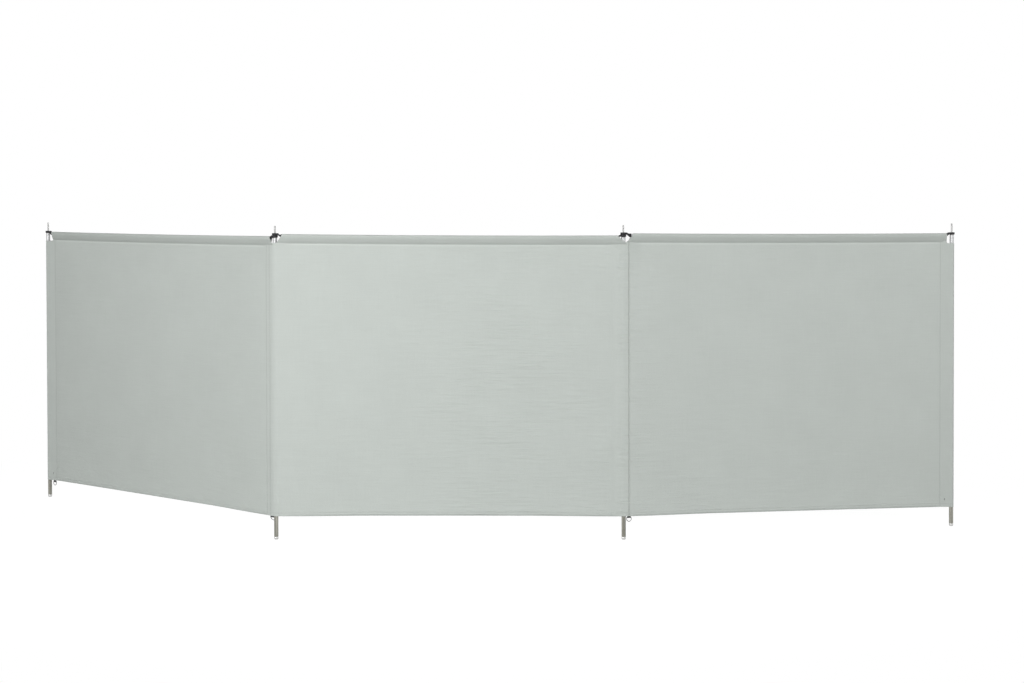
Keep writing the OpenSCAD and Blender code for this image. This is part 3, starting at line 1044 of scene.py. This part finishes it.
class WINDBREAK_OT_top_pockets(bpy.types.Operator):
    """Sews the pockets that hold the top bars"""

    bl_idname = "windbreak.top_pockets"
    bl_label = "Top pockets"

    def execute(self, context):
        cloth = context.scene.windbreak_cloth
        radius = BAR_R + EASE
        section = pocket_section(radius, TAIL, 0.9 * cloth.thickness)
        walked = walk(section)
        # The left and the middle pocket reach across an inner pole.
        ways = ((LEFT, None, LEFT), (MIDDLE, None, RIGHT), (RIGHT, RIGHT.body, None))
        for bay, body, bend in ways:
            bm = bmesh.new()
            edges = draw_line(bm, [(-SPARE, n, z) for n, z in section], "step")
            far = bay.span - FINE
            draw_out(bm, edges, every(-SPARE, FINE, 0.005) + even_steps(FINE, far, 0.010)
                     + every(far, bay.span + SPARE, 0.005))
            self.trim(bm, bay.notches[0], 0.0, 1, radius)
            self.trim(bm, bay.notches[1], bay.span, -1, radius)
            self.shape(bm, bay, cloth, walked)
            fasten(bm, bay.name + "_top_pocket", (walked[-1], bay.pocket_length()),
                   lambda spot: bay.bar_near(spot, cloth) - spot, cloth, [bay.name + "_bar"],
                   body, bend, replaces=(bay.name + "_top_sleeve",))
        return {"FINISHED"}

    def trim(self, bm, notch, base, way, radius):
        """Cuts an end: each layer on its own slope at an inner pole, upright at an end pole."""
        for front, (at_seam, at_crest) in zip((True, False), notch):
            slope = Vector((way * (at_crest - at_seam), 0, TAIL + radius)).normalized()
            layer = [f for f in bm.faces if (f.calc_center_median().y < 0) == front]
            parts = {part for f in layer for part in (f, *f.edges, *f.verts)}
            bmesh.ops.bisect_plane(bm, geom=list(parts), dist=1e-6, clear_outer=True,
                                   plane_co=(base + way * at_seam, 0, -TAIL),
                                   plane_no=(-way * slope.z, 0, way * slope.x))

    def shape(self, bm, bay, cloth, walked):
        """Stores what the finish reads, then moves the pocket to its place, with some slack."""
        step = bm.verts.layers.int["step"]

        # Painted shade: a dark line at the tail's seam and a darker lower half in front, half as
        # dark behind.
        def painted_pocket_shade(v):
            u, n, z = v.co
            seam = bump_at(z, -TAIL, 2.5 * MM) * smooth(0.03, 0.08, bay.margin(u))
            under = 0.3 * (1 - smooth(-2 * MM, 8 * MM, z)) + 0.3 * (1 - smooth(-13 * MM, 0, z))
            under += 0.26 * (1 - smooth(-27 * MM, -17 * MM, z))
            return max(seam, under * (1 if n < 0 else 0.5))

        # These layers also carry that painted shade and a painted highlight on the pocket's crest.
        set_layers(bm, along=lambda v: v.co.x, rise=lambda v: walked[v[step]],
                   sew_up=lambda v: 1.0, sew_level=lambda v: abs(v.co.z + TAIL - 4 * MM),
                   fold=painted_pocket_shade, wrinkle=lambda v: 0.35,
                   faded=lambda v: 0.22 * smooth(-1 * MM, 6 * MM, v.co.z))
        for v in bm.verts:
            u, n, z = v.co
            front = -1 if n < 0 else 1
            slack = 0.9 * drift(u * 6, 4.4 * front, bay.origin.x + z * 14)
            slack += 0.5 * drift(u * 26, 1.1 * front, bay.origin.x + z * 45)
            room = smooth(-TAIL, -TAIL + 0.014, z) * (1 - smooth(-0.004, 0.003, z))
            n += front * MM * (0.9 * slack + 0.5) * room
            n += (1 - smooth(-TAIL, 0.2 * BAR_R, z)) * bay.top_face(u, cloth)
            v.co = bay.at(u, n, bay.axis_z(u, cloth.sag) + z)


# Bars, eyes and poles.

class WINDBREAK_OT_top_bars(bpy.types.Operator):
    """Draws the top bars, which sag a little"""

    bl_idname = "windbreak.top_bars"
    bl_label = "Top bars"

    def execute(self, context):
        cloth = context.scene.windbreak_cloth
        material = finish(galvanised_tube, context.scene.windbreak_fittings)
        for bay in BAYS:
            bm = bmesh.new()
            turned = Matrix.Translation((BAR_START, 0, 0)) @ Matrix.Rotation(math.pi / 2, 4, "Y")
            bmesh.ops.create_circle(bm, segments=24, radius=BAR_R - 0.1 * MM, matrix=turned)
            draw_out(bm, bm.edges[:], every(BAR_START, bay.span - BAR_START, 0.04))
            for v in bm.verts:
                u, n, z = v.co
                v.co = bay.at(u, n, bay.axis_z(u, cloth.sag) + z)
            close_sheet(bm, BAR_WALL, lambda spot: spot - bay.bar_near(spot, cloth))
            settle(bm, bay.name + "_sagging_bar", material, bay.body,
                   replaces=(bay.name + "_bar",))
        return {"FINISHED"}


def level_with(edge, size):
    """True for an edge whose two ends have the same size(vertex)."""
    a, b = edge.verts
    return abs(size(a) - size(b)) < 1e-6


def eye_shape(edge):
    """A cranked eye: its ring on the pin at the origin, its arm along +X and its collar below."""
    bm = bmesh.new()
    half, bore, ring = EYE_T / 2, 4.6 * MM, 13 * MM
    corners = ((bore, -half), (ring, -half), (ring, half), (bore, half))
    verts = [bm.verts.new((r, 0, z)) for r, z in corners]
    spin_round(bm, verts, join_up(bm, [*verts, verts[0]]), 44)
    round_edges(bm, [e for e in bm.edges if level_with(e, lambda v: v.co.z)
                     and level_with(e, lambda v: v.co.to_2d().length)], edge)
    arm = bmesh.ops.create_cube(bm, size=1, matrix=Matrix.Translation((11 * MM, 0, 0))
                                @ Matrix.Diagonal((8 * MM, 15 * MM, EYE_T * 0.96, 1)))["verts"]
    end = [f for f in {f for v in arm for f in v.link_faces} if f.normal.x > 0.9]
    made = bmesh.ops.extrude_discrete_faces(bm, faces=end)["faces"]
    tip = [v for f in made for v in f.verts]
    bmesh.ops.translate(bm, verts=tip, vec=(12 * MM, 0, -CRANK))
    bmesh.ops.scale(bm, verts=tip, vec=(1, 0.93, 1.3),
                    space=Matrix.Translation((-COLLAR_U - 1 * MM, 0, CRANK)))
    body = {*arm, *tip}
    round_edges(bm, [e for e in bm.edges if set(e.verts) <= body], edge * 1.2)
    sideways = Matrix.Rotation(math.pi / 2, 4, "Y")
    collar = bmesh.ops.create_cone(
        bm, cap_ends=True, segments=32, radius1=8 * MM, radius2=8 * MM, depth=9 * MM,
        matrix=Matrix.Translation((COLLAR_U + 4.5 * MM, 0, -CRANK)) @ sideways)["verts"]
    rims = {e for v in collar for e in v.link_edges if level_with(e, lambda v: v.co.x)}
    round_edges(bm, list(rims), edge * 0.7)
    return bm


class WINDBREAK_OT_bar_eyes(bpy.types.Operator):
    """Moulds the black eyes on the bar ends"""

    bl_idname = "windbreak.bar_eyes"
    bl_label = "Bar eyes"

    def execute(self, context):
        fittings = context.scene.windbreak_fittings
        material = finish(moulded_nylon, fittings)
        for bay in BAYS:
            ends = ("left", "right") if bay is MIDDLE else ("inner", "outer")
            for at_end, end in enumerate(ends):
                bm = eye_shape(fittings.edge)
                pole = bay.at(bay.span * at_end, 0, bay.axis_ends[at_end] + CRANK)
                out = bay.along * (-1 if at_end else 1)
                move(bm, Matrix.Translation(pole) @ facing(out))
                node = f"{bay.name}_bar_{end}_eye"
                settle(bm, node + "_moulding", material, bay.body, sharp=35,
                       replaces=(node,))
        return {"FINISHED"}


# Radii and heights, in mm, of a pin above the pole's shoulder, above the eyes and at its top, and
# of a foot above the ground and at its top.
PIN_LOW = ((0, -20), (8.2, -20), (8.2, 0), (9.1, 0), (9.5, 0.5), (9.5, 2.4), (8.9, 3), (4.0, 3))
PIN_SEAT = ((4.0, 0), (3.5, 0.5))
PIN_TOP = ((3.5, -7.5), (3.15, -7.0), (3.15, -5.8), (3.5, -5.3), (3.5, -2.2), (3.2, -1),
           (2.4, -0.3), (1.2, 0), (0, 0))
FOOT_LOW = ((0, 0), (5.6, 0), (7.4, 0.4), (8.7, 1.4), (9.4, 3.1), (9.5, 4.5))
FOOT_TOP = ((9.5, -3.2), (9.3, -2.8), (9.3, -2.2), (9.5, -1.8), (9.5, -0.4), (9.1, 0), (8.2, 0),
            (8.2, 20), (0, 20))


class WINDBREAK_OT_pole_ends(bpy.types.Operator):
    """Turns the pins and the feet, and finishes the tubes"""

    bl_idname = "windbreak.pole_ends"
    bl_label = "Poles"

    def execute(self, context):
        fittings = context.scene.windbreak_fittings
        dull = finish(turned_steel, fittings.pin_tint, 0.3, name="dull_pin")
        polished = finish(turned_steel, fittings.foot_tint, 0.16, name="polished_foot")
        tube = finish(galvanised_tube, fittings)
        for pole, axis in POLES.items():
            node = frame["nodes"][pole + "_pole"]
            node.data.materials.clear()
            node.data.materials.append(tube)
            low, shoulder = [corner.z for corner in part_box(pole + "_pole")]
            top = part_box(pole + "_pin")[1].z
            if "inner" in pole:
                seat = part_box("left_bar_inner_eye")[1].z + EYE_STACK
            else:
                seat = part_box("left_bar_outer_eye")[1].z
            pin = ((shoulder, PIN_LOW), (seat, PIN_SEAT), (top, PIN_TOP))
            foot = ((0.0, FOOT_LOW), (low, FOOT_TOP))
            for name, parts, material in (("pin", pin, dull), ("foot", foot, polished)):
                bm = bmesh.new()
                verts = [bm.verts.new((r * MM, 0, base + h * MM))
                         for base, points in parts for r, h in points]
                spin_round(bm, verts, join_up(bm, verts), 48)
                face_out(bm)
                move(bm, Matrix.Translation(axis))
                settle(bm, f"{pole}_turned_{name}", material, node["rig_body"], sharp=30,
                       replaces=(f"{pole}_{name}",))
        return {"FINISHED"}


# Peg tabs and rings.

# Radius of the wire, half the width of a ring at the wire's middle, and the length of its legs.
WIRE_R, RING_HALF, RING_LEG = 1.5 * MM, 10.5 * MM, 8 * MM
# How far a ring hangs out to the lee, in degrees.
SWUNG = {"left_inner": 26}
# Width of a tab; then, from its top down to the ring, its heights in mm, and half the distance
# between the middles of its two layers there, in thicknesses.
TAB_WIDE = 16 * MM
TAB_RISE = (16, 12, 9, 7, 5, 3.4, 2.3)
TAB_GAP = (0.62, 0.62, 0.62, 0.64, 0.75, 0.98, 1.35)


def ring_frame(pole):
    """The straight side of a peg ring: its middle, and its direction away from the pole."""
    low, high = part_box(pole + "_ring")
    middle = (low + high) / 2
    out = Vector((middle.x - POLES[pole].x, middle.y - POLES[pole].y, 0))
    middle.z = high.z - WIRE_R
    return middle, out.normalized()


def bend_ring(bend):
    """A ring of wire, from the middle of its straight side round to its start."""
    bm = bmesh.new()
    bmesh.ops.create_circle(bm, segments=12, radius=WIRE_R, cap_ends=False,
                            matrix=Matrix.Rotation(math.pi / 2, 4, "Y"))

    def straight(edges, x, z):
        return extrude_line(bm, edges, (x, 0, z))[1]

    def turn(edges, x, z, angle, steps):
        verts = list({v for e in edges for v in e.verts})
        made = bmesh.ops.spin(bm, geom=verts + edges, cent=(x, 0, z), axis=(0, 1, 0), angle=angle,
                              steps=steps)["geom_last"]
        return only(bmesh.types.BMEdge, made)

    side = RING_HALF - bend
    edges = straight(bm.edges[:], side, 0)
    edges = turn(edges, side, -bend, math.pi / 2, 6)
    edges = straight(edges, 0, bend - RING_LEG)
    edges = turn(edges, 0, -RING_LEG, math.pi, 20)
    edges = straight(edges, 0, RING_LEG - bend)
    edges = turn(edges, -side, -bend, math.pi / 2, 6)
    straight(edges, side - 0.25 * MM, 0)
    bmesh.ops.holes_fill(bm, edges=[e for e in bm.edges if e.is_boundary], sides=12)
    bmesh.ops.recalc_face_normals(bm, faces=bm.faces[:])
    face_out(bm)
    return bm


class WINDBREAK_OT_peg_rings(bpy.types.Operator):
    """Bends the wire rings that take the pegs"""

    bl_idname = "windbreak.peg_rings"
    bl_label = "Peg rings"

    def execute(self, context):
        fittings = context.scene.windbreak_fittings
        material = finish(ring_wire, fittings)
        for pole in POLES:
            bm = bend_ring(fittings.wire_bend)
            spot, out = ring_frame(pole)
            swing = math.radians(SWUNG.get(pole, 0)) * (1 if out.x > 0 else -1)
            move(bm, Matrix.Translation(spot) @ facing(out) @ Matrix.Rotation(swing, 4, "X"))
            settle(bm, pole + "_bent_ring", material,
                   frame["nodes"][pole + "_ring"]["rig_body"], sharp=60, replaces=(pole + "_ring",))
        return {"FINISHED"}


class WINDBREAK_OT_peg_tabs(bpy.types.Operator):
    """Sews the webbing tabs that hold the rings"""

    bl_idname = "windbreak.peg_tabs"
    bl_label = "Peg tabs"

    def execute(self, context):
        fittings = context.scene.windbreak_fittings
        material = finish(black_webbing, fittings)
        ply = fittings.webbing
        radius = WIRE_R + 0.2 * MM + ply / 2
        side = [(gap * ply, rise * MM) for gap, rise in zip(TAB_GAP, TAB_RISE)]
        points = [(-n, z) for n, z in side]
        points += [(radius * math.cos(a), radius * math.sin(a))
                   for a in (math.radians(150 + 240 * i / 16) for i in range(17))]
        points += reversed(side)
        walked = walk(points)
        for pole in POLES:
            bm = bmesh.new()
            edges = draw_line(bm, [(-TAB_WIDE / 2, n, z) for n, z in points], "step")
            draw_out(bm, edges, every(0, TAB_WIDE, TAB_WIDE / 10))
            step = bm.verts.layers.int["step"]
            set_layers(bm, along=lambda v: v.co.x, rise=lambda v: walked[v[step]])
            close_sheet(bm, ply * 0.96, lambda spot: Vector((0, 0, 1)))
            spot, out = ring_frame(pole)
            move(bm, Matrix.Translation(spot) @ facing(out))
            settle(bm, pole + "_sewn_tab", material,
                   frame["nodes"][pole + "_tab"]["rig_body"], replaces=(pole + "_tab",))
        return {"FINISHED"}


# The studio.

WHITE = (1, 1, 1, 1)


def looking(place, ahead):
    """Places a lamp or a camera that looks ahead."""
    return Matrix.Translation(place) @ ahead.to_track_quat("-Z", "Y").to_matrix().to_4x4()


class WINDBREAK_OT_stage(bpy.types.Operator):
    """Sets up the floor, the lamps, the sky and the camera"""

    bl_idname = "windbreak.stage"
    bl_label = "Studio"

    def execute(self, context):
        scene = context.scene
        stage = scene.windbreak_stage
        self.floor(stage)
        self.sky(scene, stage)
        self.lamp("key_lamp", (-1.55, -5.6, 2.3), (0.6, 0, 0.7), 1.6, stage.key_power)
        self.lamp("fill_lamp", (6.5, -4.0, 2.5), (2.2, 0.1, 0.7), 1.6, stage.fill_power)
        self.lamp("lee_lamp", (0.2, 7.0, 3.2), (0.9, 0.3, 0.7), 2.4, stage.lee_power)
        data = bpy.data.cameras.new("front_camera")
        data.lens, data.sensor_width, data.shift_y = stage.lens, 36, -stage.drop
        scene.camera = show("front_camera", data)
        yaw, tilt, roll = [math.radians(a) for a in (-0.63, 0.797, -0.135)]
        ahead = Vector((math.sin(yaw) * math.cos(tilt), math.cos(yaw) * math.cos(tilt),
                        -math.sin(tilt)))
        scene.camera.matrix_world = (looking((1.1199, -5.8063, 1.5373), ahead)
                                     @ Matrix.Rotation(roll, 4, "Z"))
        scene.view_settings.view_transform = "Standard"
        return {"FINISHED"}

    def floor(self, stage):
        """A floor that looks white, with the shadow near the object, and gives pale light."""
        bm = bmesh.new()
        bmesh.ops.create_circle(bm, cap_ends=True, segments=96, radius=9.0,
                                matrix=Matrix.Translation((0.9, 0.3, 0)))
        mesh = bpy.data.meshes.new("floor")
        bm.to_mesh(mesh)
        bm.free()
        f = Finish(bpy.data.materials.new("pale_floor"))
        place = f.objects()
        off = f.place((f.axis(place, 0) - 0.9) / 3.2, (f.axis(place, 1) - 0.3) / 1.9)
        reach = f.node("ShaderNodeVectorMath", {0: off}, "Value", operation="LENGTH")
        white = f.node("ShaderNodeEmission", {"Color": WHITE, "Strength": 1.0})
        shaded = f.node("ShaderNodeBsdfDiffuse", {"Color": (0.16, 0.16, 0.16, 1)})
        glow = f.node("ShaderNodeEmission", {"Color": (0.93, 0.93, 0.93, 1), "Strength": 1.0})
        lit = f.node("ShaderNodeAddShader", {0: shaded, 1: glow})
        plain = f.node("ShaderNodeBsdfDiffuse", {"Color": rgba(stage.floor_tint)})
        f.output(f.mixed(f.seen(), plain, f.mixed(f.step(reach, 0.55, 1.1), lit, white)))
        mesh.materials.append(f.owner)
        show("floor", mesh)

    def sky(self, scene, stage):
        """Even light from all sides, white to the camera."""
        scene.world = bpy.data.worlds.new("studio_sky")
        f = Finish(scene.world)
        light, white = [f.node("ShaderNodeBackground", {"Color": WHITE, "Strength": strength})
                        for strength in (stage.sky, 1.0)]
        f.output(f.mixed(f.seen(), light, white), "ShaderNodeOutputWorld")

    def lamp(self, name, place, aim, size, power):
        data = bpy.data.lights.new(name, "AREA")
        data.shape, data.size, data.energy = "DISK", size, power
        show(name, data).matrix_world = looking(place, Vector(aim) - Vector(place))


STEPS = (WINDBREAK_OT_cloth, WINDBREAK_OT_hem_tapes, WINDBREAK_OT_pole_strips,
         WINDBREAK_OT_corner_tacks, WINDBREAK_OT_top_pockets, WINDBREAK_OT_top_bars,
         WINDBREAK_OT_bar_eyes, WINDBREAK_OT_pole_ends, WINDBREAK_OT_peg_rings,
         WINDBREAK_OT_peg_tabs, WINDBREAK_OT_stage)
GROUPS = {"windbreak_cloth": ClothSettings, "windbreak_fittings": FittingSettings,
          "windbreak_stage": StageSettings}


class WINDBREAK_PT_panel(bpy.types.Panel):
    """Lists the windbreak's settings and steps"""

    bl_idname = "WINDBREAK_PT_panel"
    bl_label = "Windbreak"
    bl_space_type = "VIEW_3D"
    bl_region_type = "UI"
    bl_category = "Windbreak"

    def draw(self, context):
        for name, group in GROUPS.items():
            box = self.layout.box()
            for key in group.__annotations__:
                box.prop(getattr(context.scene, name), key)
        for step in STEPS:
            self.layout.operator(step.bl_idname)


def register():
    for kind in (*GROUPS.values(), *STEPS, WINDBREAK_PT_panel):
        bpy.utils.register_class(kind)
    for name, group in GROUPS.items():
        setattr(bpy.types.Scene, name, PointerProperty(type=group))


def unregister():
    for name in GROUPS:
        delattr(bpy.types.Scene, name)
    for kind in (WINDBREAK_PT_panel, *reversed(STEPS), *GROUPS.values()):
        bpy.utils.unregister_class(kind)


def main():
    register()
    bpy.ops.windbreak.cloth()
    bpy.ops.windbreak.hem_tapes()
    bpy.ops.windbreak.pole_strips()
    bpy.ops.windbreak.corner_tacks()
    bpy.ops.windbreak.top_pockets()
    bpy.ops.windbreak.top_bars()
    bpy.ops.windbreak.bar_eyes()
    bpy.ops.windbreak.pole_ends()
    bpy.ops.windbreak.peg_rings()
    bpy.ops.windbreak.peg_tabs()
    bpy.ops.windbreak.stage()


if __name__ == "__main__":
    main()
